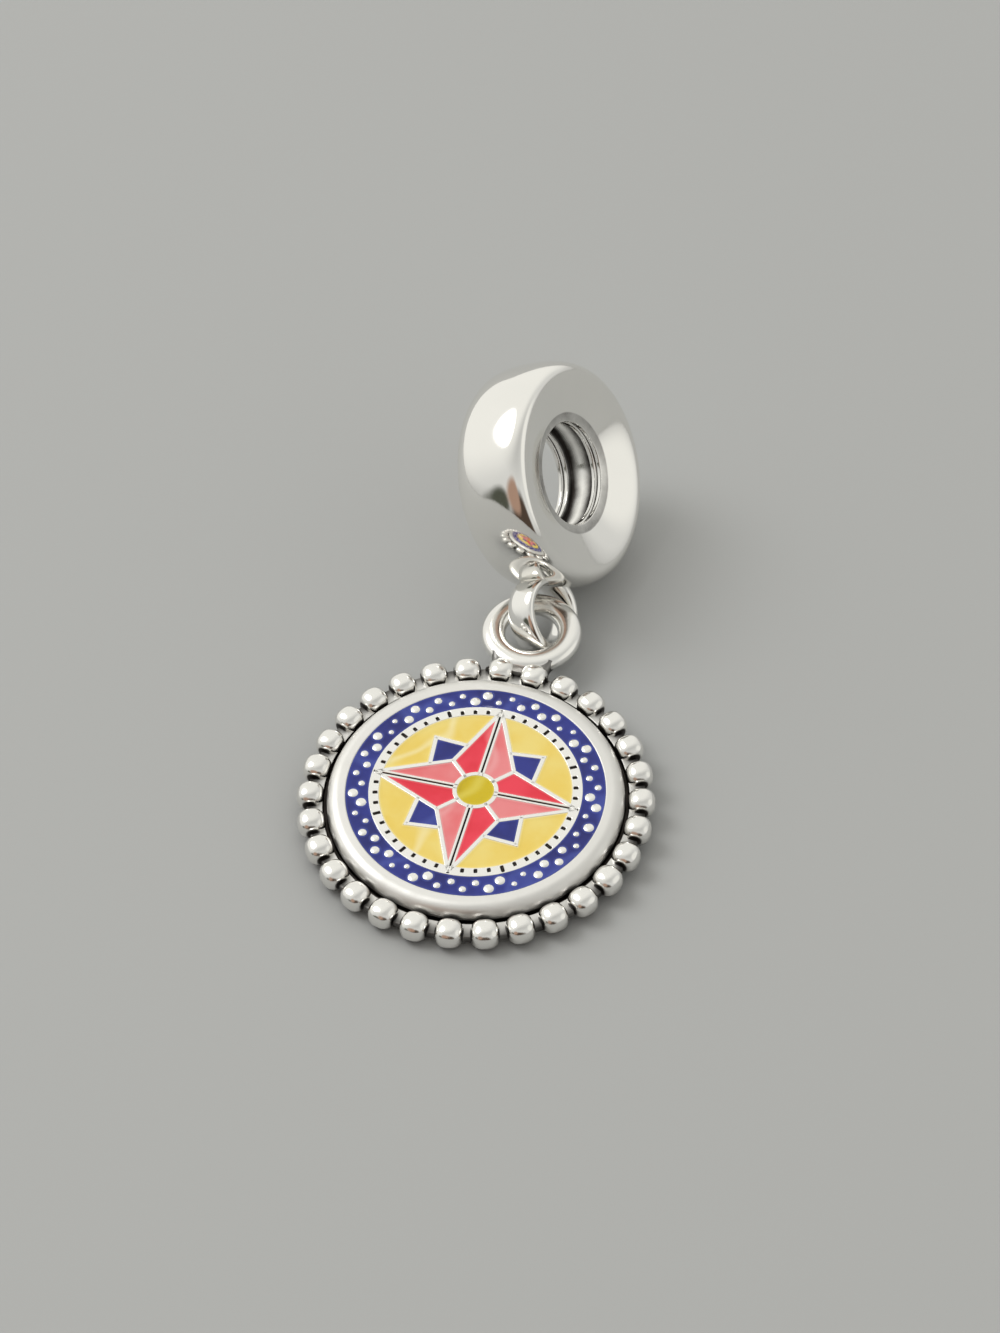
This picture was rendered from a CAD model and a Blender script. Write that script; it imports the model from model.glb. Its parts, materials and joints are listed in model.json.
# %% [markdown]
# A silver dangle charm lies on a table. It has two castings: a round bail bead that
# slides on a bracelet, and a medallion with an enamel star, hung on the bead's small
# loop. The charm's solids are loaded first and stay where they are. They say where
# everything is, and the finer pieces made here stand in for them. Lengths below are in
# millimetres, and are only turned into metres when a mesh is made.

# %% Load the charm's solids
import json
import bmesh
import bpy
import numpy as np
from mathutils import Matrix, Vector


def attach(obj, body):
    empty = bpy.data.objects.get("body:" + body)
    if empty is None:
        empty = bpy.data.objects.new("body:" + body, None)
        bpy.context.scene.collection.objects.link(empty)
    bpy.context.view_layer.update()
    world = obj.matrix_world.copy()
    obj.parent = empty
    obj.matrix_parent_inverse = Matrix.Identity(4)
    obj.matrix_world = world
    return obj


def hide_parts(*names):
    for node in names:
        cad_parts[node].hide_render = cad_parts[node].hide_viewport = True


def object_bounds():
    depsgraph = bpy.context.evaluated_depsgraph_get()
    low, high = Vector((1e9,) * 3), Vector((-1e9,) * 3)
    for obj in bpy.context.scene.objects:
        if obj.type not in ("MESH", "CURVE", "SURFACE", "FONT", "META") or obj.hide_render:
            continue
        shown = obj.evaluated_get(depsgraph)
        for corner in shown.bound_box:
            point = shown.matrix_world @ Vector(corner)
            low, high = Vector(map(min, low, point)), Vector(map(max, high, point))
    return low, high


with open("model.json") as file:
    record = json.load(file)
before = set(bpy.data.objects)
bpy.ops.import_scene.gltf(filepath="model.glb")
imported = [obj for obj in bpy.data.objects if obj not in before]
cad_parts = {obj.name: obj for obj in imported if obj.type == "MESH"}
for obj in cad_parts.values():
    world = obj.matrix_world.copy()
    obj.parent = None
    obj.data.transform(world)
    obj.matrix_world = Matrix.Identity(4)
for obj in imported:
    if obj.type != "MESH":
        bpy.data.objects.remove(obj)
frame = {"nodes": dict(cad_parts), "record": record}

MM = 0.001
solid_box = [list(corner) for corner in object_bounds()]
mounts = {m["name"]: m for m in frame["record"]["mounts"]}
print("solids:", sorted(frame["nodes"]))

# %% [markdown]
# Both castings lie at a slant, so each gets a frame of its own. The bore of the bead
# gives its centre and its axis. The medallion's flat back gives its middle and its
# slope: the far side is lifted, because its ring rests on the bead's loop. A frame is
# three directions, the piece's own x, y and z, and a point to put its origin at. The
# objects themselves could be turned instead, but then a pattern that reads their
# coordinates would turn with them, and the export wants every object at the origin.

# %% Frames of the two castings
def unit(v):
    """The vector v divided by its length."""
    return np.asarray(v, float) / np.linalg.norm(v)


def to_world(points, axes, origin):
    """Points (x, y, z) of a piece's frame in the world: origin + x * first axis + y *
    second axis + z * third axis."""
    return np.asarray(points) @ np.asarray(axes) + origin


back = mounts["medallion_back"]
face_up = -np.array(back["axis"])
medal_origin = np.array(back["pos_m"]) / MM
medal_axes = np.array([[1, 0, 0], np.cross(face_up, [1, 0, 0]), face_up])

bore = mounts["bail_bore"]
bore_axis = unit(bore["axis"])
bail_origin = np.array(bore["pos_m"]) / MM
level = unit(np.cross([0, 0, 1], bore_axis))
bail_axes = np.array([level, np.cross(bore_axis, level), bore_axis])
slope = np.degrees(np.arcsin(medal_axes[1][2]))
print("medallion slopes by", round(float(slope), 2), "degrees")

# %% [markdown]
# Each shape below is a grid of points: a function of two parameters, worked out for
# the whole grid at once. Neighbours on the grid become quads. Every grid is a closed
# shell, and the sign of its volume tells whether its quads face outwards or must be
# turned. Blender can recalculate normals too, but this is quick and always certain.

# %% Quads of a grid
def grid_quads(rows, columns, round_rows, round_columns):
    """Quads of a grid whose point (i, j) has the number i * columns + j. Each joins
    (i, j), (i+1, j), (i+1, j+1) and (i, j+1), and a round direction wraps to its start."""
    i = np.arange(rows if round_rows else rows - 1)[:, None]
    j = np.arange(columns if round_columns else columns - 1)[None, :]
    k, m = (i + 1) % rows, (j + 1) % columns
    corners = [i * columns + j, k * columns + j, k * columns + m, i * columns + m]
    return np.stack(corners, -1).reshape(-1, 4)


def facing_out(points, quads):
    """The quads, turned round if the volume inside them is negative. A quad a, b, c, d
    adds (a . (b x c) + a . (c x d)) / 6, measured from the middle of the shell."""
    a, b, c, d = (points[quads[:, n]] - points.mean(0) for n in range(4))
    volume = np.sum(a * np.cross(b, c) + a * np.cross(c, d)) / 6
    return quads if volume > 0 else quads[:, ::-1]


def shell(points, round_rows=True, round_columns=False, **marks):
    """A closed grid surface, with its named marks: one number for each of its points."""
    return {"points": points, "wraps": (round_rows, round_columns), "marks": marks}


print("a round grid of 3 by 4 points has", len(grid_quads(3, 4, True, True)), "quads")

# %% [markdown]
# One casting is one mesh, however many grids it has, because on the real charm its
# parts are soldered into one. foreach_set copies whole arrays into the mesh, which is
# far quicker than a loop over points. A mark becomes an attribute of the points, and a
# finish can read it.

# %% Shells into one piece
SEAM = 2e-8         # metres: points closer than this are one point
SHARP = 42          # degrees: edges that turn by more stay sharp in the shading


def close_seams(mesh):
    """Joins points that coincide, such as a pole's, and shades smoothly up to SHARP."""
    bm = bmesh.new()
    bm.from_mesh(mesh)
    bmesh.ops.remove_doubles(bm, verts=bm.verts, dist=SEAM)
    bm.to_mesh(mesh)
    bm.free()
    mesh.polygons.foreach_set("use_smooth", np.ones(len(mesh.polygons), bool))
    mesh.set_sharp_from_angle(angle=np.radians(SHARP))


def make_piece(name, shells, stands_for, marks=()):
    """One mesh object from shells that are already in place, in millimetres."""
    points, quads, numbers, count = [], [], {m: [] for m in marks}, 0
    for s in shells:
        rows, columns = s["points"].shape[:2]
        p = s["points"].reshape(-1, 3)
        quads.append(facing_out(p, grid_quads(rows, columns, *s["wraps"])) + count)
        points.append(p)
        for m in marks:
            value = s["marks"].get(m, 0.0)
            numbers[m].append(np.broadcast_to(value, (rows, columns)).reshape(-1))
        count += rows * columns
    points, quads = np.concatenate(points) * MM, np.concatenate(quads)
    mesh = bpy.data.meshes.new(name)
    mesh.vertices.add(len(points))
    mesh.vertices.foreach_set("co", points.astype(np.float32).ravel())
    mesh.loops.add(quads.size)
    mesh.loops.foreach_set("vertex_index", quads.astype(np.int32).ravel())
    mesh.polygons.add(len(quads))
    mesh.polygons.foreach_set("loop_start", np.arange(0, quads.size, 4, dtype=np.int32))
    mesh.update(calc_edges=True)
    for m in marks:
        layer = mesh.attributes.new(m, "FLOAT", "POINT")
        layer.data.foreach_set("value", np.concatenate(numbers[m]).astype(np.float32))
    close_seams(mesh)
    piece = bpy.data.objects.new(name, mesh)
    bpy.context.scene.collection.objects.link(piece)
    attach(piece, "root")
    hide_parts(*stands_for)
    triangles = sum(len(f.vertices) - 2 for f in mesh.polygons)
    print(name, len(mesh.vertices), "points,", triangles, "triangles")
    return piece


print("one millimetre is", MM, "metres in a mesh; edges over", SHARP, "degrees stay sharp")

# %% [markdown]
# Cast and polished silver has no truly sharp edges. A Bevel modifier could round them
# all alike. Here a profile is drawn with sharp corners, and each corner is cut back and
# joined by a small curve of its own radius. The points just before and after the curve
# keep the flats beside it flat in the shading.

# %% Profiles: rounded, revolved and blended
def rounded(corners, radius, closed=False, steps=6):
    """Each corner c between its neighbours p and q becomes the curve
    (1-t)^2 * s + 2t(1-t) * c + t^2 * e. Here s and e lie a radius away from c towards p
    and q, or 45 % of the way if that is less, and one more point on either side lies
    1.4 radii away, or 48 %. radius is one number, or one for each corner."""
    c = np.asarray(corners, float)
    r = np.broadcast_to(radius, len(c)).astype(float)[:, None]
    p, q = np.roll(c, 1, 0), np.roll(c, -1, 0)
    to_p, to_q = p - c, q - c
    length_p = np.linalg.norm(to_p, axis=1, keepdims=True)
    length_q = np.linalg.norm(to_q, axis=1, keepdims=True)
    s = c + to_p * np.minimum(r / length_p, 0.45)
    e = c + to_q * np.minimum(r / length_q, 0.45)
    t = np.linspace(0, 1, steps)[None, :, None]
    curve = (1 - t) ** 2 * s[:, None] + 2 * t * (1 - t) * c[:, None] + t**2 * e[:, None]
    before = c + to_p * np.minimum(1.4 * r / length_p, 0.48)
    after = c + to_q * np.minimum(1.4 * r / length_q, 0.48)
    rows = np.concatenate([before[:, None], curve, after[:, None]], 1)
    if not closed:
        rows[0], rows[-1] = c[0], c[-1]
    return rows.reshape(-1, c.shape[1])


def revolved(profile, steps):
    """A profile of (radius, height) pairs turned round the z axis:
    (radius * cos a, radius * sin a, height) for the angles a of one turn."""
    a = np.linspace(0, 2 * np.pi, steps, endpoint=False)[:, None]
    r, h = profile[:, 0][None, :], profile[:, 1][None, :]
    return np.stack([r * np.cos(a), r * np.sin(a), h + 0 * a], -1)


def smooth_step(low, high, x):
    """0 at low, 1 at high, and 3t^2 - 2t^3 between, where t is the share of the way. It
    runs the other way where low is the larger number."""
    t = np.clip((x - low) / (high - low), 0, 1)
    return t * t * (3 - 2 * t)


print("a corner becomes", len(rounded(np.eye(2), 0.1)) // 2, "points")

# %% [markdown]
# The bail bead is a turned shape. Its barrel is fuller than an ellipse, each side has
# a crest and then a dish down to the bore, and the bore has two ridges that grip the
# bracelet, each with a fine nick along its top. It could be cut from a torus with
# booleans, but a profile revolved round the bore's axis gives every edge exactly.

# %% The bail bead's profile
BAIL_R, BAIL_HALF_W, CREST_R, FULLNESS = 4.865, 1.70, 4.2, 2.5
EDGE_R, DISH, DISH_BEND = 2.61, 0.48, 1.25
BORE_R, RIDGE_R, RIDGE_W, RIDGE_INSET = 2.42, 2.2, 0.5, 0.1
NICK_D, NICK_HALF_W = 0.1, 0.07
EDGE_A = BAIL_HALF_W - DISH
LAND_OUT = EDGE_A - RIDGE_INSET
LAND_IN = LAND_OUT - RIDGE_W
RIDGE_FOOT = LAND_IN - (BORE_R - RIDGE_R) / 2


def bail_profile():
    """Half of the closed profile, from the barrel's middle to the bore's middle, as
    (radius, place along the axis). Barrel: crest + rise * cos(t)^(2/fullness),
    half width * sin(t)^(2/fullness). Dish: depth * (1 - s^bend), where s is the share
    of the way from crest to edge, so it is nearly a cone. Its points crowd at the crest."""
    t = np.linspace(0, np.pi / 2, 56)
    barrel = np.stack([CREST_R + (BAIL_R - CREST_R) * np.cos(t).clip(0) ** (2 / FULLNESS),
                       BAIL_HALF_W * np.sin(t) ** (2 / FULLNESS)], 1)
    share = np.linspace(0, 1, 40)[1:-1] ** 1.6
    dish = np.stack([CREST_R - (CREST_R - EDGE_R) * share,
                     EDGE_A + DISH * (1 - share**DISH_BEND)], 1)
    middle = (LAND_OUT + LAND_IN) / 2
    bore_side = [dish[-1], (EDGE_R, EDGE_A), (RIDGE_R, LAND_OUT),
                 (RIDGE_R, middle + NICK_HALF_W), (RIDGE_R + NICK_D, middle),
                 (RIDGE_R, middle - NICK_HALF_W), (RIDGE_R, LAND_IN),
                 (BORE_R, RIDGE_FOOT), (BORE_R, 0)]
    return np.concatenate([barrel, dish, rounded(bore_side, 0.045, steps=5)[1:]])


half = bail_profile()
bail_ring = np.concatenate([half, (half * [1, -1])[-2:0:-1]])
print("bead profile:", len(bail_ring), "points")

# %% [markdown]
# Polishing reaches the outside of the bead but not its bore, so the bore is darker:
# most at the feet of the ridges and in their nicks, less on the land beside the dish,
# and least in the smooth middle. It could be painted by hand. Here each point of the
# profile gets a tarnish mark from its radius and its place along the axis.

# %% Where the bead is tarnished
BORE_DARK, LAND_DARK, FOOT_DARK = 0.16, 0.26, 0.6
r, place = bail_ring[:, 0], np.abs(bail_ring[:, 1])
inside = smooth_step(EDGE_R + 0.04, EDGE_R - 0.05, r)
land = smooth_step(LAND_OUT - 0.02, LAND_OUT + 0.03, place)
foot = smooth_step(0.16, 0.04, np.abs(place - RIDGE_FOOT))
nick = smooth_step(RIDGE_R + 0.03, RIDGE_R + 0.09, r)
nick = nick * (place > LAND_IN + 0.1) * (place < LAND_OUT - 0.1)
bail_tarnish = inside * (BORE_DARK + LAND_DARK * land + FOOT_DARK * np.maximum(foot, nick))
print("darkest mark in the bore:", round(float(bail_tarnish.max()), 2))

# %% [markdown]
# The loop is soldered to the barrel. It rests on the table with the bead, so its height
# is known, and the stem from bead to loop follows: it is square to the bore's axis and
# falls just enough to bring the loop down. Setting it by eye would leave it floating.

# %% The loop's place, found from where it rests
LOOP_HOLE_R, LOOP_T, LOOP_HALF_W, LOOP_ROUND, LOOP_SINK = 1.26, 0.38, 0.6, 0.16, 0.5
LOOP_LEAN = np.radians(32.8)
loop_outer_r = LOOP_HOLE_R + LOOP_T
loop_z = ((loop_outer_r - LOOP_ROUND) * np.cos(LOOP_LEAN)
          + (LOOP_HALF_W - LOOP_ROUND) * np.sin(LOOP_LEAN) + LOOP_ROUND)
stem = BAIL_R + loop_outer_r - LOOP_SINK
fall = (loop_z - bail_origin[2]) / stem / bail_axes[1][2]
stem_dir = fall * bail_axes[1] - np.sqrt(1 - fall**2) * bail_axes[0]
loop_origin = bail_origin + stem * stem_dir
stem_turn = np.arctan2(stem_dir[1], stem_dir[0])
loop_turn = stem_turn + np.arccos(-np.tan(LOOP_LEAN) * stem_dir[2] / np.hypot(*stem_dir[:2]))
loop_axis = np.array([np.cos(LOOP_LEAN) * np.cos(loop_turn),
                      np.cos(LOOP_LEAN) * np.sin(loop_turn), np.sin(LOOP_LEAN)])
loop_axes = np.array([stem_dir, np.cross(loop_axis, stem_dir), loop_axis])
print("loop centre:", loop_origin.round(3), "axis:", loop_axis.round(3))

# %% [markdown]
# The loop itself is a domed strip bent round. A torus would be as thick as it is wide,
# so the strip is an oval of its own width and thickness, carried round a circle. Use
# has drawn it out where the medallion hangs. Bead and loop are one mesh, as they are
# one casting.

# %% The bail bead with its loop
STRIP_T, STRIP_HALF_W, LOOP_PULL = 0.48, 0.66, 0.30


def power_oval(half_w, half_h, squareness, steps):
    """An oval of (across, up) pairs: half_w * cos(t)^(2/p), half_h * sin(t)^(2/p), with the
    signs of cos and sin. p, the squareness, is 2 for an ellipse and more for a squarer
    oval, and may be one number or one for each point."""
    t = np.linspace(0, 2 * np.pi, steps, endpoint=False)
    c, s = np.cos(t), np.sin(t)
    e = 2 / (squareness + 0 * t)
    return np.stack([half_w * np.sign(c) * np.abs(c) ** e,
                     half_h * np.sign(s) * np.abs(s) ** e], 1)


def loop_grid(strip_steps=80, turn_steps=192):
    """The strip carried round the loop: radius + pull * share * cos(a)^6, where a = 0 is the end
    that holds the medallion's ring. The share grows from the hole's side to the outside, so
    that end is drawn out and thicker, as a forged loop is."""
    t = np.linspace(0, 2 * np.pi, strip_steps, endpoint=False)
    strip = power_oval(STRIP_T / 2, STRIP_HALF_W, 2.9 - 0.5 * np.cos(t), strip_steps)
    grid = revolved(strip + [loop_outer_r - STRIP_T / 2, 0], turn_steps)
    radius = np.linalg.norm(grid[..., :2], axis=-1, keepdims=True)
    across = grid[..., :2] / radius
    share = 0.35 + 0.65 * (radius - loop_outer_r + STRIP_T) / STRIP_T
    grid[..., :2] += LOOP_PULL * share * across[..., :1].clip(0) ** 6 * across
    return grid


bead_grid = to_world(revolved(bail_ring, 256), bail_axes, bail_origin)
bail = make_piece("bail_silver", [
    shell(bead_grid, True, True, tarnish=bail_tarnish[None, :]),
    shell(to_world(loop_grid(), loop_axes, loop_origin), True, True),
], ["bail"], marks=("tarnish",))

# %% [markdown]
# The medallion's plate is turned as well: a flat back, a flange that carries the
# border beads, a groove, and a satin rim with a rounded shoulder. Inside the rim the
# plate drops to the floor of the enamel cells. The tarnish mark says where the maker
# left the silver black: in the groove and, more faintly, on the flange and the back.

# %% The medallion's plate
PLATE_T, BACK_R, FACE_R, FLOOR = 1.22, 5.95, 5.24, 0.92
BORDER_R, BORDER_N, BEAD_R, BEAD_LIFT = 6.7, 30, 0.58, 0.62
RIM_R, RIM_ROUND = 6.02, 0.5
FLANGE_R, FLANGE_TOP, FLANGE_T = 6.85, 0.66, 0.36
GROOVE_W, GROOVE_D = 0.18, 0.24
GROOVE_R, GROOVE_Z = RIM_R + GROOVE_W, FLANGE_TOP - GROOVE_D


def on_medal(points):
    """Points of the medallion's frame in the world."""
    return to_world(points, medal_axes, medal_origin)


def plate_profile():
    """From the middle of the back, out and up over flange, groove and rim, to the cell floor.
    The shoulder is a quarter circle: rim - round + round * cos(a), top - round + round * sin(a)."""
    outside = rounded([(0, 0), (BACK_R, 0), (FLANGE_R, FLANGE_TOP - FLANGE_T),
                       (FLANGE_R, FLANGE_TOP), (GROOVE_R, FLANGE_TOP), (GROOVE_R, GROOVE_Z),
                       (RIM_R, GROOVE_Z), (RIM_R, PLATE_T - RIM_ROUND)],
                      [0, 0.12, 0.08, 0.08, 0.04, 0.06, 0.06, 0])
    a = np.linspace(0, np.pi / 2, 24)[1:]
    shoulder = np.stack([RIM_R - RIM_ROUND + RIM_ROUND * np.cos(a),
                         PLATE_T - RIM_ROUND + RIM_ROUND * np.sin(a)], 1)
    inner = rounded([shoulder[-1], (FACE_R, PLATE_T), (FACE_R, FLOOR), (0, FLOOR)],
                    [0, 0.05, 0.03, 0])
    return np.concatenate([outside, shoulder, inner[1:]])


GROOVE_DARK, FLANGE_DARK, FLANGE_EDGE_DARK, BACK_DARK = 1.3, 0.22, 0.38, 0.25
plate = plate_profile()
r, z = plate.T
front = z > 0.3
in_groove = (r > 6.0) * (r < GROOVE_R + 0.01) * front
groove_mark = GROOVE_DARK * smooth_step(0.68, 0.58, z) * in_groove
flange_mark = FLANGE_DARK + FLANGE_EDGE_DARK * smooth_step(6.58, 6.76, r)
flange_mark = flange_mark * (r > GROOVE_R) * front
back_mark = BACK_DARK * (z < 0.1)
plate_tarnish = np.maximum.reduce([groove_mark, flange_mark, back_mark])
plate_piece = make_piece("medallion_plate", [
    shell(on_medal(revolved(plate, 240)), True, False, tarnish=plate_tarnish),
], ["medallion"], marks=("tarnish",))

# %% [markdown]
# The border beads are worn balls set in a ring: a superellipsoid, a little squarer than
# a ball. An Array modifier could repeat one. Here one grid is copied to all places at
# once, turned to face outwards, so that a seeded random source can change each by a
# hundredth or two, as no casting is quite even. Their undersides, and the sides where
# neighbours almost touch, stay black.

# %% The border beads
def worn_ball(squareness=2.45, rows=25, columns=48):
    """Closed grid with |x|^p + |y|^p + |z|^p = 1 along its meridians and parallels: every sine
    and cosine of a ball's latitude and longitude is raised to 2/p, keeping its sign."""
    def power(v):
        """v raised to 2 / squareness, with its sign kept."""
        return np.sign(v) * np.abs(v) ** (2 / squareness)
    p = np.linspace(0, np.pi, rows)[None, :]
    a = np.linspace(0, 2 * np.pi, columns, endpoint=False)[:, None]
    return np.stack([power(np.sin(p)) * power(np.cos(a)),
                     power(np.sin(p)) * power(np.sin(a)), power(np.cos(p)) + 0 * a], -1)


UP = np.array([0, 0, 1.0])
PLACE_ERROR, SIZE_ERROR = 0.008, (-0.02, 0.01)      # mm, and parts of a bead's size
rng = np.random.default_rng(7)
turns = (np.arange(BORDER_N) + 0.5) * 2 * np.pi / BORDER_N
outward = np.stack([np.sin(turns), np.cos(turns), 0 * turns], 1)
along = np.cross(outward, UP)
centres = BORDER_R * outward + BEAD_LIFT * UP + rng.normal(0, PLACE_ERROR, outward.shape)
sizes = BEAD_R * (1 + rng.uniform(*SIZE_ERROR, BORDER_N))
worn = worn_ball() * [1.0, 0.98, 0.95]
directions = np.stack([along, outward, np.broadcast_to(UP, outward.shape)], 1)
turned = np.einsum("ijk,nkm->nijm", worn, directions)
balls = centres[:, None, None] + sizes[:, None, None, None] * turned
# Where a bead is black: below, at its two neighbours and at the rim, in parts of its size.
ball_tarnish = np.maximum.reduce([0.9 * smooth_step(-0.15, -0.75, worn[..., 2]),
                                  smooth_step(0.86, 0.99, np.abs(worn[..., 0])),
                                  smooth_step(-0.80, -0.97, worn[..., 1])])
print("border beads:", BORDER_N, "of", round(2 * BEAD_R, 2), "mm")

# %% [markdown]
# The hanging ring is bent from flattened wire: an oval carried round a circle. A lug
# joins it to the border. The lug is a row of rounded rectangles from the beads to the
# ring, narrower and lower halfway, which gives it the hollow sides of a soldered joint.
# A plain box would show its corners there.

# %% The hanging ring, its lug, and the border in one
RING_W, RING_H, RING_HOLE_R, RING_Y, RING_LIFT = 1.02, 0.70, 1.10, 9.05, 0.67
LUG_W, LUG_TOP, LUG_HOLLOW, LUG_ROUND, LUG_SINK = 2.7, 0.98, 0.10, 0.22, 0.1
LUG_DARK, LUG_FOOT_DARK = 0.55, 0.4
ring_mid_r = RING_HOLE_R + RING_W / 2
wire = power_oval(RING_W / 2, RING_H / 2, 2.25, 56) + [ring_mid_r, 0]
ring = revolved(wire, 180) + [0, RING_Y, RING_LIFT]


def box_section(half_w, low, high, corner):
    """A rectangle with rounded corners, as (across, up) pairs."""
    return rounded([(-half_w, low), (half_w, low), (half_w, high), (-half_w, high)],
                   corner, closed=True, steps=5)


def lug_rows(steps=14):
    """Rounded rectangles along y. At the share u of the way the half width is
    W/2 * (1 - hollow * sin(pi * u)), and the top is T - hollow * sin(pi * u)."""
    u = np.linspace(0, 1, steps)
    y = BORDER_R - LUG_SINK + u * (RING_Y - ring_mid_r - BORDER_R + 2 * LUG_SINK)
    half_w = LUG_W / 2 * (1 - LUG_HOLLOW * np.sin(np.pi * u))
    top = LUG_TOP - LUG_HOLLOW * np.sin(np.pi * u)
    rows = [np.insert(box_section(w, FLANGE_TOP - FLANGE_T, t, LUG_ROUND), 1, at, axis=1)
            for w, t, at in zip(half_w, top, y)]
    ends = [0 * rows[k] + rows[k].mean(0) for k in (0, -1)]
    return np.stack([ends[0], *rows, ends[1]])


lug = lug_rows()
lug_tarnish = LUG_DARK + LUG_FOOT_DARK * smooth_step(LUG_TOP - 0.2, LUG_TOP - 0.5, lug[..., 2])
border = make_piece("medallion_border", [
    *[shell(on_medal(b), True, False, tarnish=ball_tarnish) for b in balls],
    shell(on_medal(ring), True, True),
    shell(on_medal(lug), False, True, tarnish=lug_tarnish),
], ["medallion"], marks=("tarnish",))
print("ring centre is", RING_Y, "mm from the medallion's middle")

# %% [markdown]
# The face is champleve work: cells are sunk in the silver, and fired enamel fills them
# almost flush with thin silver walls. The star is a mariner's compass. Its corners are
# few, so they are plain named points, and each wall is a short bar between two of them.

# %% Corners of the star
BAND_W, SCALE_W, WALL = 0.92, 0.42, 0.18
band_in_r = FACE_R - BAND_W
field_r = band_in_r - SCALE_W
TIP_R, NOTCH_R, SHORT_R, BASE_SHARE, RIB_W, HUB_R = field_r + 0.3, 1.8, 3.2, 0.3, 0.28, 0.75
diagonal = np.array([np.cos(np.pi / 4), np.sin(np.pi / 4)])
tip_a, tip_b = np.array([TIP_R, 0]), np.array([0, TIP_R])
notch, short_tip = NOTCH_R * diagonal, SHORT_R * diagonal
base_a, base_b = notch + BASE_SHARE * (tip_a - notch), notch + BASE_SHARE * (tip_b - notch)


def quarter(points, k):
    """Points of the plane turned by k quarter turns."""
    a = k * np.pi / 2
    return np.asarray(points) @ np.array([[np.cos(a), np.sin(a)], [-np.sin(a), np.cos(a)]])


print("long points reach", round(TIP_R, 2), "mm and short points", SHORT_R, "mm")

# %% [markdown]
# A wall is a section carried in a straight line. The ribs of the long points have a
# fine black line cut along their middle, a small V in the top of their section. A bump
# texture would be quicker, but a cut in the mesh stays crisp and exports as shape.

# %% Silver walls
LINE_W, LINE_D = 0.10, 0.06
WALL_FOOT = FLOOR - 0.02
CUT_DARK = 2.0      # the tarnish mark of engraved lines and ticks


def bar(start, end, section):
    """A closed section of (across, up) pairs carried in a straight line, its ends closed."""
    start, end = np.append(start, 0.0), np.append(end, 0.0)
    across = unit(np.cross(UP, end - start))
    outline = section[:, :1] * across + section[:, 1:] * UP
    middle = outline.mean(0, keepdims=True) + 0 * outline
    return np.stack([start + middle, start + outline, end + outline, end + middle])


plain_wall = box_section(WALL / 2, WALL_FOOT, PLATE_T, 0.03)
lined_rib = rounded([(-RIB_W / 2, WALL_FOOT), (RIB_W / 2, WALL_FOOT), (RIB_W / 2, PLATE_T),
                     (LINE_W / 2, PLATE_T), (0, PLATE_T - LINE_D), (-LINE_W / 2, PLATE_T),
                     (-RIB_W / 2, PLATE_T)],
                    [0.03, 0.03, 0.03, 0.01, 0.01, 0.01, 0.03], closed=True, steps=4)
in_line = (np.abs(lined_rib[:, 0]) < 0.8 * LINE_W / 2) * (lined_rib[:, 1] > FLOOR)
line_mark = CUT_DARK * in_line
wall_ends = [(tip_a, notch), (tip_b, notch), (base_a, short_tip), (base_b, short_tip),
             (HUB_R * diagonal, notch)]
rib_ends = [(HUB_R, 0), (field_r + 0.05, 0)]
walls = []
for k in range(4):
    for ends in wall_ends:
        walls.append(shell(on_medal(bar(*quarter(ends, k), plain_wall)), False, True))
    rib = bar(*quarter(rib_ends, k), lined_rib)
    walls.append(shell(on_medal(rib), False, True, tarnish=line_mark))
print("silver walls:", len(walls))

# %% [markdown]
# Round the star runs a silver ring with an engraved scale, like a compass card's. The
# ticks could be cut with 48 booleans. Instead the top surface is a height that depends
# on the turn: each tick is a narrow dip, every fourth one is longer, and the dips are
# black.

# %% The scale ring and the hub's ring
TICKS, TICK_W, TICK_D = 48, 0.11, 0.06
SHORT_TICK, LONG_TICK, TICK_START, TICK_SOFT = 0.15, 0.27, field_r + 0.07, 0.02


def collar(inner_r, outer_r, steps, rows=14):
    """A closed silver ring of the face: a (radius, height) section with rounded top edges,
    turned round z."""
    top = np.stack([np.linspace(outer_r - 0.04, inner_r + 0.04, rows), np.full(rows, PLATE_T)], 1)
    outer = rounded([(outer_r, WALL_FOOT), (outer_r, PLATE_T), top[0]], [0, 0.03, 0])
    inner = rounded([top[-1], (inner_r, PLATE_T), (inner_r, WALL_FOOT)], [0, 0.03, 0])
    return revolved(np.concatenate([outer, top[1:-1], inner]), steps)


def engrave(points):
    """Depth share of the ticks at each point: 1 where the distance to the nearest tick, measured
    along the circle, is well under half a tick's width and the radius is within its length."""
    radius = np.hypot(points[..., 0], points[..., 1])
    turn = np.arctan2(points[..., 1], points[..., 0]) * TICKS / (2 * np.pi)
    nearest = np.round(turn)
    away = np.abs(turn - nearest) * 2 * np.pi / TICKS * radius
    end = TICK_START + np.where(nearest.astype(int) % 4 == 0, LONG_TICK, SHORT_TICK)
    within = (smooth_step(TICK_START - TICK_SOFT, TICK_START, radius)
              * smooth_step(end + TICK_SOFT, end, radius))
    on_top = points[..., 2] > PLATE_T - 0.01
    return smooth_step(TICK_W * 0.62, TICK_W * 0.38, away) * within * on_top


scale_ring = collar(field_r, band_in_r, 960)
cut = engrave(scale_ring)
scale_ring[..., 2] -= TICK_D * cut
hub_ring = collar(HUB_R, HUB_R + WALL, 72, rows=6)
print("ticks:", TICKS)

# %% [markdown]
# The navy band is strewn with silver grains, in two rows whose sizes look unordered.
# Each grain is a small post with a softly domed top, and one grid makes them all. Four
# smaller posts close the tips of the short points.

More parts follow.
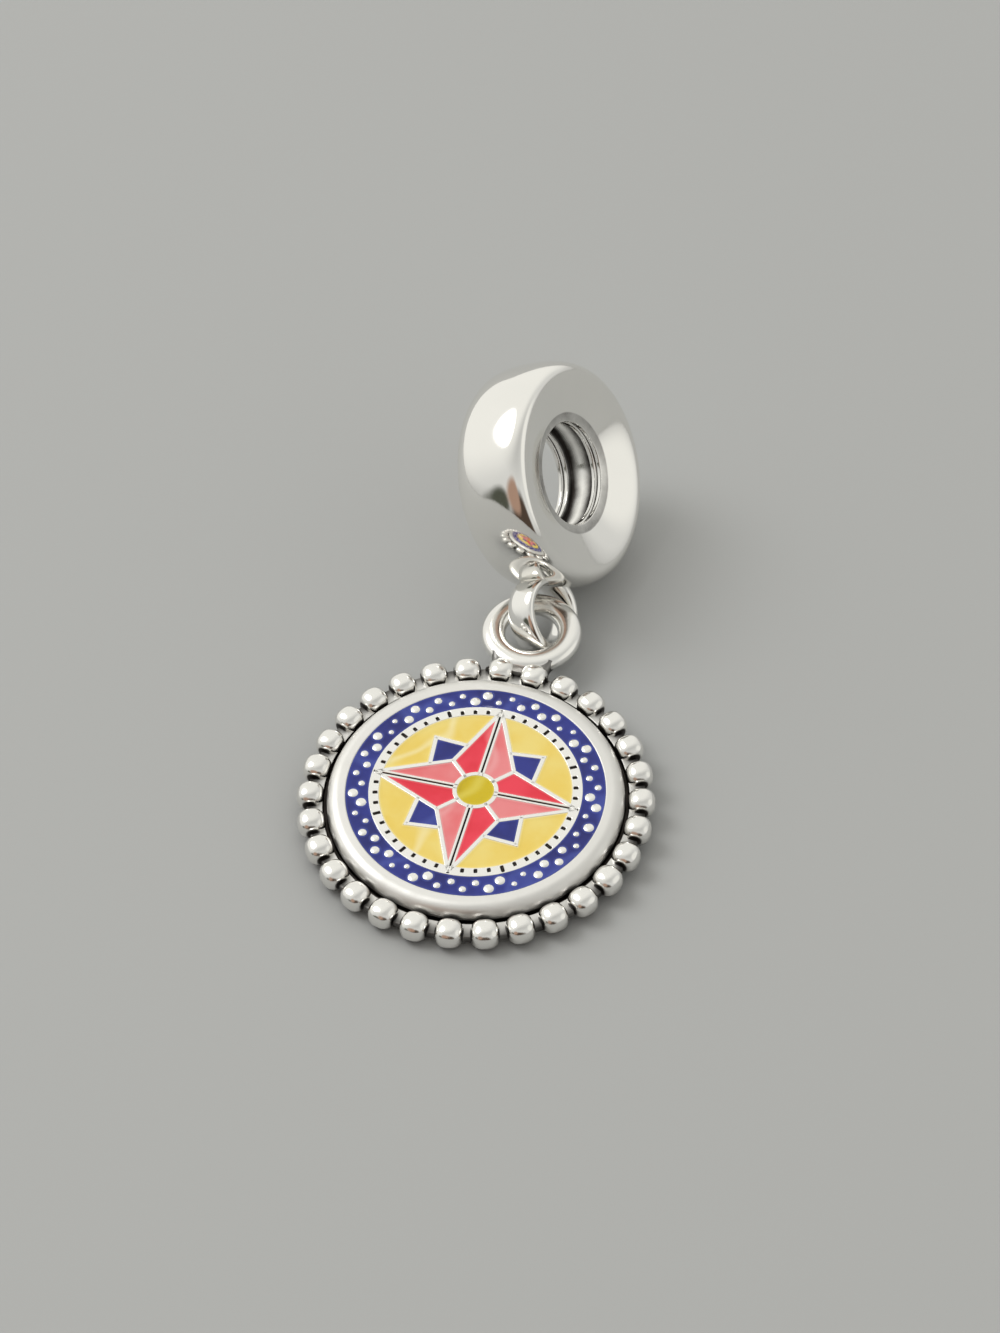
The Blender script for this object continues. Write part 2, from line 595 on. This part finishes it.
# %% The silver grains, and the face in one
GRAIN_N, GRAIN_R, GRAIN_SPREAD, GRAIN_MARGIN = 30, 0.18, 0.3, 0.07
TIP_POST_R = WALL * 0.42
GOLDEN = 137        # degrees: steps of the golden angle look unordered
row = np.repeat([-1.0, 1.0], GRAIN_N)
number = np.tile(np.arange(GRAIN_N), 2)
grain_row = BAND_W / 2 - GRAIN_MARGIN - GRAIN_R * (1 + GRAIN_SPREAD)
grain_r = GRAIN_R * (1 + GRAIN_SPREAD * np.sin(np.radians(number * GOLDEN + row * GOLDEN / 2)))
grain_turn = np.radians((number + row / 4) * 360 / GRAIN_N)
grain_at = np.stack([np.cos(grain_turn), np.sin(grain_turn)], 1)
grain_at = (FACE_R - BAND_W / 2 + row * grain_row)[:, None] * grain_at
post = revolved(rounded([(0, PLATE_T + 0.03), (0.55, PLATE_T + 0.02), (1, PLATE_T - 0.02),
                         (1, FLOOR), (0, FLOOR)], [0, 0.25, 0.15, 0, 0]), 24)
posts = post[None] * np.stack([grain_r, grain_r, 1 + 0 * grain_r], 1)[:, None, None]
posts[..., :2] += grain_at[:, None, None]
tip_posts = post[None] * [TIP_POST_R, TIP_POST_R, 1] + 0 * posts[:4]
tip_posts[..., 2] = np.minimum(tip_posts[..., 2], PLATE_T)
tip_at = np.array([quarter(short_tip + 0.05 * diagonal, k) for k in range(4)])
tip_posts[..., :2] += tip_at[:, None, None]
face = make_piece("medallion_face", [
    *walls,
    shell(on_medal(scale_ring), True, True, tarnish=CUT_DARK * cut),
    shell(on_medal(hub_ring), True, True),
    *[shell(on_medal(p), True, False) for p in (*posts, *tip_posts)],
], ["medallion"], marks=("tarnish",))
print("grains:", len(posts))

# %% [markdown]
# A piece of enamel is a skin between two curves, P(u, v) = (1 - v) * A(u) + v * B(u).
# Molten enamel creeps up its walls and sinks a little in the middle, so the height of
# each point depends on how far it is from the nearest wall. That distance is kept as
# a mark, because the colour is also paler and thinner at the walls. A filled outline
# would be one flat face, with no points inside to lift or to mark.

# %% Enamel between two curves
ENAMEL_TOP, CREEP, CREEP_W, ENAMEL_BASE = 1.185, 0.02, 0.16, 0.95


def distance_to_line(points, line):
    """Distance from each point to a line of corners: the least over its straight runs."""
    a, b = line[:-1], line[1:]
    run = b - a
    length2 = np.maximum(np.einsum("ik,ik->i", run, run), 1e-12)
    t = np.einsum("pik,ik->pi", points[:, None] - a, run) / length2
    near = a + np.clip(t, 0, 1)[..., None] * run
    return np.linalg.norm(points[:, None] - near, axis=2).min(1)


def distance_in_band(points):
    """Distance to the nearest of the band's two edges and its grains."""
    r = np.linalg.norm(points, axis=1)
    to_grain = np.linalg.norm(points[:, None] - grain_at, axis=2) - grain_r
    return np.minimum(np.minimum(r - band_in_r, FACE_R - r), to_grain.min(1).clip(0))


def enamel(curve_a, curve_b, across, is_band=False):
    """A closed skin between two curves. Its top is the enamel's height + creep * (1 - s), where s
    rises smoothly from 0 at a wall to 1 at the creep's width; its base is flat."""
    v = (1 - np.cos(np.linspace(0, np.pi, across))) / 2
    flat = (1 - v)[None, :, None] * curve_a[:, None] + v[None, :, None] * curve_b[:, None]
    points = flat.reshape(-1, 2)
    if is_band:
        wall = distance_in_band(points)
    else:
        wall = np.minimum(distance_to_line(points, curve_a), distance_to_line(points, curve_b))
    wall = wall.reshape(flat.shape[:2])
    top = ENAMEL_TOP + CREEP * (1 - smooth_step(0, CREEP_W, wall))
    upper = np.concatenate([flat, top[..., None]], -1)
    lower = np.concatenate([flat[:, ::-1], 0 * top[..., None] + ENAMEL_BASE], -1)
    return shell(on_medal(np.concatenate([upper, lower], 1)), is_band, True,
                 wall=np.concatenate([wall, wall[:, ::-1]], 1))


print("enamel lies", round(PLATE_T - ENAMEL_TOP, 3), "mm below the silver")

# %% [markdown]
# The two curves of each piece are lines and arcs. Straight outlines are moved in by half
# a wall, as the walls stand on them, and a line that ends on a circle is cut where it
# crosses it. Measuring the pieces one by one would leave gaps where they meet.

# %% Lines and arcs
def path(corners, counts):
    """Points along straight lines through the corners, counts of them on each line."""
    c = np.asarray(corners, float)
    runs = [c[i] + (c[i + 1] - c[i]) * np.linspace(0, 1, n, endpoint=False)[:, None]
            for i, n in enumerate(counts)]
    return np.concatenate([*runs, c[-1:]])


def arc(radius, start, end, n):
    """n points on a circle round the middle, from start to end in degrees."""
    a = np.radians(np.linspace(start, end, n))
    return radius * np.stack([np.cos(a), np.sin(a)], 1)


def inset(corners, by):
    """Corners of an outline, listed anticlockwise, with edge i moved inwards by by[i]. The new
    corner is where the two moved edges cross. With unit normals u and v of the edges before
    and after it, moved by d and e, it lies at corner + ((d, e) solved for (u, v))."""
    c = np.asarray(corners, float)
    edge = np.roll(c, -1, 0) - c
    v = np.stack([-edge[:, 1], edge[:, 0]], 1) / np.linalg.norm(edge, axis=1, keepdims=True)
    e = np.asarray(by, float)
    u, d = np.roll(v, 1, 0), np.roll(e, 1)
    shift = np.stack([d * v[:, 1] - e * u[:, 1], e * u[:, 0] - d * v[:, 0]], 1)
    return c + shift / (u[:, 0] * v[:, 1] - u[:, 1] * v[:, 0])[:, None]


def until_circle(a, b, radius):
    """Where the line from a towards b crosses the circle: the root of |a + t(b-a)| = radius
    that lies nearest to the middle of the line."""
    d = b - a
    f = [d @ d, 2 * a @ d, a @ a - radius**2]
    t = (-f[1] + np.array([-1, 1]) * np.sqrt(f[1] ** 2 - 4 * f[0] * f[2])) / (2 * f[0])
    return a + t[np.argmin(np.abs(t - 0.5))] * d


def mirrored(points):
    """Points mirrored in the x axis."""
    return np.asarray(points) * [1, -1]


half_wall = WALL / 2
wedge = inset([notch, base_a, short_tip, base_b], [half_wall] * 4)
sand = inset([tip_a, 3 * field_r * diagonal, tip_b, base_b, short_tip, base_a],
             [0, 0] + [half_wall] * 4)
point = inset([(0, 0), tip_a, notch], [RIB_W / 2, half_wall, half_wall])
print("a wedge is", round(float(np.linalg.norm(wedge[2] - wedge[0])), 2), "mm long")

# %% [markdown]
# The star repeats four times, so each quarter is the first one turned. The half points
# on either side of a rib are mirror images. Each piece of enamel is an object of its
# own, because each is a separate fill of glass in a separate cell.

# %% The eighteen enamel pieces
HUB_EDGE = HUB_R + WALL
start_a = until_circle(point[0], point[1], HUB_EDGE)
start_b = until_circle(point[0], point[2], HUB_EDGE)
point_rib = path([start_a, point[1]], [60])
point_edge = path([start_a, start_b, point[2], point[1]], [8, 12, 40])
first = until_circle(sand[5], sand[0], field_r)
last = until_circle(sand[3], sand[2], field_r)
turn_a, turn_b = (np.degrees(np.arctan2(p[1], p[0])) for p in (first, last))
sand_inner = path([first, sand[5], sand[4], sand[3], last], [40, 24, 24, 40])
sand_outer = arc(field_r, turn_a, turn_b, 129)
wedge_a = path([wedge[0], wedge[1], wedge[2]], [12, 28])
wedge_b = path([wedge[0], wedge[3], wedge[2]], [12, 28])

circle, half_hub = arc(1, 0, 360, 721)[:-1], arc(HUB_R, 0, 180, 49)
skins = {
    "enamel_band": enamel(circle * band_in_r, circle * FACE_R, 24, is_band=True),
    "enamel_hub": enamel(half_hub, mirrored(half_hub), 25),
}
for k in range(4):
    skins[f"enamel_sand_{k + 1}"] = enamel(quarter(sand_inner, k), quarter(sand_outer, k), 25)
    skins[f"enamel_wedge_{k + 1}"] = enamel(quarter(wedge_a, k), quarter(wedge_b, k), 15)
    skins[f"enamel_point_{2 * k + 1}"] = enamel(quarter(point_rib, k), quarter(point_edge, k), 17)
    skins[f"enamel_point_{2 * k + 2}"] = enamel(quarter(mirrored(point_rib), k),
                                                quarter(mirrored(point_edge), k), 17)
SLOT = {"band": "enamel_navy", "wedge": "enamel_navy", "hub": "enamel_olive",
        "sand": "enamel_sand", "point": "enamel_red"}
glass = {}
for node, skin in skins.items():
    glass[node] = make_piece(node + "_glaze", [skin], [node], marks=("wall",))
print("pieces of enamel:", len(glass))

# %% [markdown]
# Finishes are procedural: worked out by nodes, with no image. A small helper adds a
# node and fills its sockets, so that each finish below reads as a list of what it is
# made of. The same nodes could be set by hand in the shader editor.

# %% A helper for finishes
def finish(name):
    """A new material, its node tree and its Principled shader."""
    material = bpy.data.materials.new(name)
    material.use_nodes = True
    return material, material.node_tree, material.node_tree.nodes["Principled BSDF"]


def add(tree, kind, settings=None, **sockets):
    """Adds a node. Sockets take a number, a colour or another node's output. A socket goes by
    its name, with _ for a space, or by its number, such as i0."""
    node = tree.nodes.new("ShaderNode" + kind)
    for key, value in (settings or {}).items():
        setattr(node, key, value)
    for key, value in sockets.items():
        by_number = key[0] == "i" and key[1:].isdigit()
        socket = node.inputs[int(key[1:]) if by_number else key.replace("_", " ")]
        if isinstance(value, bpy.types.NodeSocket):
            tree.links.new(value, socket)
        else:
            socket.default_value = value
    return node


def remap(tree, value, low, high, to_low, to_high):
    """A value taken smoothly from low..high to to_low..to_high."""
    node = add(tree, "MapRange", {"interpolation_type": "SMOOTHSTEP"}, Value=value,
               From_Min=low, From_Max=high, To_Min=to_low, To_Max=to_high)
    return node.outputs["Result"]


def mix_colour(tree, share, a, b):
    """Colour a, or b where the share is 1."""
    return add(tree, "Mix", {"data_type": "RGBA"}, i0=share, i6=a, i7=b).outputs[2]


def noise(tree, coords, scale, detail=3.0, rough=0.5):
    """Cloudy noise from 0 to 1, with scale in grains per metre."""
    return add(tree, "TexNoise", Vector=coords, Scale=scale, Detail=detail,
               Roughness=rough).outputs["Fac"]


print("helpers for finishes: add, remap, mix_colour, noise")

# %% [markdown]
# Sterling silver is a warm white metal. The bead is mirror polished and slightly uneven
# from wear, the border and the face are duller, and the rim is satin. Where the tarnish
# mark is high the metal turns brown black and dull, as silver sulphide does. Each could
# be a finish of its own, but one recipe with a few numbers keeps them the same metal.

# %% Silver
STERLING, STERLING_WORN, SULPHIDE = (0.95, 0.935, 0.90), (0.88, 0.87, 0.84), (0.035, 0.03, 0.027)
SULPHIDE_ROUGHNESS = 0.42
CLOUD_GRAIN, TONE_GRAIN, POLISH_GRAIN, WAVE_GRAIN = 900, 350, 700, 260      # per metre


def silver(name, shine, roughness, bump_scale, bump_depth, wave_depth):
    """Silver with a brightness and a polish, a fine texture and a slow unevenness; depths are
    in millimetres. Where mark + half the cloud passes 0.35 it starts to turn black."""
    material, tree, shader = finish(name)
    coords = add(tree, "TexCoord").outputs["Object"]
    mark = add(tree, "Attribute", {"attribute_name": "tarnish"}).outputs["Fac"]
    cloud = noise(tree, coords, CLOUD_GRAIN, 4)
    edge = add(tree, "Math", {"operation": "MULTIPLY_ADD"}, i0=cloud, i1=0.5, i2=mark).outputs[0]
    black = remap(tree, edge, 0.35, 1.0, 0.0, 1.0)
    light, worn = (tuple(shine * c for c in tone) for tone in (STERLING, STERLING_WORN))
    tone_cloud = noise(tree, coords, TONE_GRAIN, 2)
    bright = mix_colour(tree, tone_cloud, (*light, 1), (*worn, 1))
    colour = mix_colour(tree, black, bright, (*SULPHIDE, 1))
    tree.links.new(colour, shader.inputs["Base Color"])
    shader.inputs["Metallic"].default_value = 1.0
    polish = remap(tree, noise(tree, coords, POLISH_GRAIN, 3), 0.3, 0.7,
                   roughness * 0.8, roughness * 1.25)
    rough = add(tree, "Mix", {"data_type": "FLOAT"}, i0=black, i2=polish,
                i3=SULPHIDE_ROUGHNESS).outputs[0]
    tree.links.new(rough, shader.inputs["Roughness"])
    slow = add(tree, "Bump", Strength=1.0, Distance=wave_depth * MM,
               Height=noise(tree, coords, WAVE_GRAIN, 1))
    fine = add(tree, "Bump", Strength=1.0, Distance=bump_depth * MM,
               Height=noise(tree, coords, bump_scale, 4, 0.6), Normal=slow.outputs[0])
    tree.links.new(fine.outputs[0], shader.inputs["Normal"])
    return material


# name, shine, roughness, grains of the fine texture, its depth, depth of the waves
for piece, recipe in [(bail, ("polished_silver", 1.0, 0.07, 9000, 0.0008, 0.010)),
                      (border, ("border_silver", 0.97, 0.17, 7000, 0.002, 0.012)),
                      (plate_piece, ("satin_silver", 0.84, 0.50, 9000, 0.003, 0.012)),
                      (face, ("face_silver", 1.0, 0.24, 9000, 0.003, 0.010))]:
    piece.data.materials.append(silver(*recipe))
    print(piece.name, "is", recipe[0])

# %% [markdown]
# Enamel is coloured glass. Its skin is glossy and slightly wavy. Its colour drifts in
# slow clouds, with a few paler streaks where it flowed, and close to the walls the
# layer is thin, so the silver below makes it paler there. Real glass could be given
# transmission, but such a thin opaque fill shows none. Each colour has three tones.

# %% Enamel
STREAK, STREAK_W = 0.50, 0.045      # share of pale, and reach in the noise
THIN, THIN_W = 0.55, 0.08           # share of pale, and reach in mm
DRIFT_GRAIN, FLOW_GRAIN, SKIN_GRAIN = 520, 330, 380     # per metre
SKIN_WAVE = 0.05                    # mm


def fired_enamel(name, deep, body, pale):
    """Glossy enamel whose colour runs from deep to body in slow clouds. It is mixed with pale in
    streaks, where a slow noise crosses one half, and at the walls."""
    material, tree, shader = finish(name)
    coords = add(tree, "TexCoord").outputs["Object"]
    wall = add(tree, "Attribute", {"attribute_name": "wall"}).outputs["Fac"]
    cloud = remap(tree, noise(tree, coords, DRIFT_GRAIN, 3), 0.35, 0.65, 0, 1)
    colour = mix_colour(tree, cloud, (*deep, 1), (*body, 1))
    flow = noise(tree, coords, FLOW_GRAIN, 0.5)
    across = add(tree, "Math", {"operation": "SUBTRACT"}, i0=flow, i1=0.5).outputs[0]
    ridge = add(tree, "Math", {"operation": "ABSOLUTE"}, i0=across).outputs[0]
    colour = mix_colour(tree, remap(tree, ridge, 0.0, STREAK_W, STREAK, 0.0), colour, (*pale, 1))
    colour = mix_colour(tree, remap(tree, wall, 0.0, THIN_W, THIN, 0.0), colour, (*pale, 1))
    tree.links.new(colour, shader.inputs["Base Color"])
    shader.inputs["Roughness"].default_value = 0.07
    shader.inputs["IOR"].default_value = 1.5
    wave = add(tree, "Bump", Strength=1.0, Distance=SKIN_WAVE * MM,
               Height=noise(tree, coords, SKIN_GRAIN, 1.0))
    tree.links.new(wave.outputs[0], shader.inputs["Normal"])
    return material


TONES = {           # deep, body and pale
    "red": ((0.78, 0.024, 0.050), (0.86, 0.045, 0.082), (0.90, 0.22, 0.24)),
    "coral": ((0.81, 0.17, 0.18), (0.84, 0.25, 0.26), (0.88, 0.42, 0.42)),
    "sand": ((0.86, 0.63, 0.12), (0.88, 0.70, 0.20), (0.95, 0.86, 0.50)),
    "navy": ((0.006, 0.010, 0.15), (0.016, 0.026, 0.25), (0.06, 0.09, 0.40)),
    "olive": ((0.52, 0.38, 0.0), (0.64, 0.48, 0.0), (0.78, 0.68, 0.12)),
}
fired = {tone: fired_enamel(tone + "_enamel", *colours) for tone, colours in TONES.items()}
for node, piece in glass.items():
    pale_half = "point" in node and int(node[-1]) % 2 == 0
    tone = "coral" if pale_half else SLOT[node.split("_")[1]].split("_")[1]
    piece.data.materials.append(fired[tone])
print("enamel colours:", list(fired))

# %% [markdown]
# The charm lies on a plain pale table, which takes the shadows and shows in the underside
# of the silver. It could have a stone's or a cloth's texture, but any pattern would show
# again in the polish, so it is one big square with a dull finish.

# %% The table
TABLE_HALF = 1.5    # metres
corners = [(x * TABLE_HALF, y * TABLE_HALF, 0) for x, y in ((-1, -1), (1, -1), (1, 1), (-1, 1))]
table = bpy.data.meshes.new("table")
table.from_pydata(corners, [], [(0, 1, 2, 3)])
table_piece = bpy.data.objects.new("table", table)
bpy.context.scene.collection.objects.link(table_piece)
material, tree, shader = finish("pale_table")
shader.inputs["Base Color"].default_value = (0.42, 0.425, 0.42, 1)
shader.inputs["Roughness"].default_value = 0.7
table.materials.append(material)
print("table:", 2 * TABLE_HALF, "m wide")

# %% [markdown]
# Polished silver shows what stands round it, so the surroundings matter more than the
# metal. They could be a ring of real cards, but the world's own nodes can draw them by
# direction and cost nothing. The tent is a soft light grey, a little darker low down
# and overhead. It has a broad bright glow at the left, a white card at the right, and
# on the camera's side two dark cards and a warm brown one. The dark parts draw the
# edges of the silver.

# %% The tent round the table
world = bpy.data.worlds.new("studio")
bpy.context.scene.world = world
world.use_nodes = True
tree = world.node_tree
towards = add(tree, "TexCoord").outputs["Generated"]


def compass(turn, rise):
    """A direction: turn degrees clockwise from +Y, seen from above, and rise degrees up."""
    t, e = np.radians(turn), np.radians(rise)
    return np.array([np.sin(t) * np.cos(e), np.cos(t) * np.cos(e), np.sin(e)])


def card(turn, rise, inner, outer):
    """1 for directions within inner degrees of a card's middle, falling to 0 at outer degrees."""
    dot = add(tree, "VectorMath", {"operation": "DOT_PRODUCT"}, i0=towards,
              i1=compass(turn, rise)).outputs["Value"]
    return remap(tree, dot, np.cos(np.radians(outer)), np.cos(np.radians(inner)), 0.0, 1.0)


WARM = 0.965        # the share of blue in the tent's white
GREYS = [(0.0, 0.50), (0.06, 0.58), (0.16, 0.68), (0.6, 0.70), (1.0, 0.52)]
CARDS = [           # turn, rise, inner and outer reach, colour
    (-48, 34, 40, 78, (0.91, 0.905, 0.86)),
    (82, 26, 16, 30, (0.88, 0.875, 0.83)),
    (168, 0, 24, 40, (0.075, 0.052, 0.038)),
    (218, 4, 8, 16, (0.075, 0.080, 0.060)),
    (193, 22, 12, 22, (0.40, 0.26, 0.19)),
]
ramp = add(tree, "ValToRGB", Fac=add(tree, "SeparateXYZ", Vector=towards).outputs["Z"])
while len(ramp.color_ramp.elements) < len(GREYS):
    ramp.color_ramp.elements.new(0.5)
for element, (place, value) in zip(ramp.color_ramp.elements, GREYS):
    element.position = place
    element.color = (value, value, value * WARM, 1)
sky = ramp.outputs["Color"]
for turn, rise, inner, outer, colour in CARDS:
    sky = mix_colour(tree, card(turn, rise, inner, outer), sky, (*colour, 1))
tree.links.new(sky, tree.nodes["Background"].inputs["Color"])
print("cards in the tent:", len(CARDS))

# %% [markdown]
# One soft window light at the left gives the charm its highlights and its shadow. A
# plain area light shows in the mirror of the bead as a hard white square. Its strength
# is made to fall off from the middle by reading where on the lamp a ray starts.

# %% The window light
def soft_light(name, turn, rise, distance, size, watts):
    """A square area light in a compass direction, facing the charm, with sizes in metres. Its
    strength falls smoothly from its middle to its edge, as on a real diffuser."""
    data = bpy.data.lights.new(name, "AREA")
    data.shape, data.size, data.energy = "SQUARE", size, watts
    data.use_nodes = True
    nodes = data.node_tree
    from_middle = add(nodes, "VectorMath", {"operation": "DISTANCE"},
                      i0=add(nodes, "NewGeometry").outputs["Parametric"],
                      i1=(0.5, 0.5, 0.0)).outputs["Value"]
    strength = remap(nodes, from_middle, 0.12, 0.5, 1.0, 0.0)
    nodes.links.new(strength, nodes.nodes["Emission"].inputs["Strength"])
    lamp = bpy.data.objects.new(name, data)
    back = compass(turn, rise)
    across = unit(np.cross([0, 0, 1], back))
    sides = np.stack([across, np.cross(back, across), back, distance * back], 1)
    lamp.matrix_world = Matrix(np.vstack([sides, [0, 0, 0, 1]]).tolist())
    bpy.context.scene.collection.objects.link(lamp)


soft_light("window", turn=-85, rise=52, distance=0.60, size=0.46, watts=3.6)

# %% [markdown]
# The camera stands where the photograph was taken from, 47 degrees above the table. It
# could be aimed at the charm with a Track To constraint, but the place and the turn were
# found by fitting the border beads and the bead's outline. So its matrix is given in
# full: its own right, up and back directions, and its place.

# %% Camera
CAMERA_AT = np.array([24.001, -88.296, 100.135])
RIGHT = (0.96685, 0.25500, -0.01358)
ABOVE = (-0.17744, 0.70912, 0.68240)
BEHIND = (0.18364, -0.65736, 0.73086)
LENS = 87.47        # mm
camera = bpy.data.objects.new("camera", bpy.data.cameras.new("camera"))
bpy.context.scene.collection.objects.link(camera)
bpy.context.scene.camera = camera
camera.data.lens = LENS
camera.data.clip_start = 0.005
camera.data.dof.use_dof = False
stand = np.stack([RIGHT, ABOVE, BEHIND, CAMERA_AT * MM], 1)
camera.matrix_world = Matrix(np.vstack([stand, [0, 0, 0, 1]]).tolist())
bpy.context.scene.view_settings.view_transform = "Standard"
reach = np.linalg.norm(CAMERA_AT - np.mean(solid_box, 0) / MM)
print("camera is", round(float(reach)), "mm from the charm's middle")
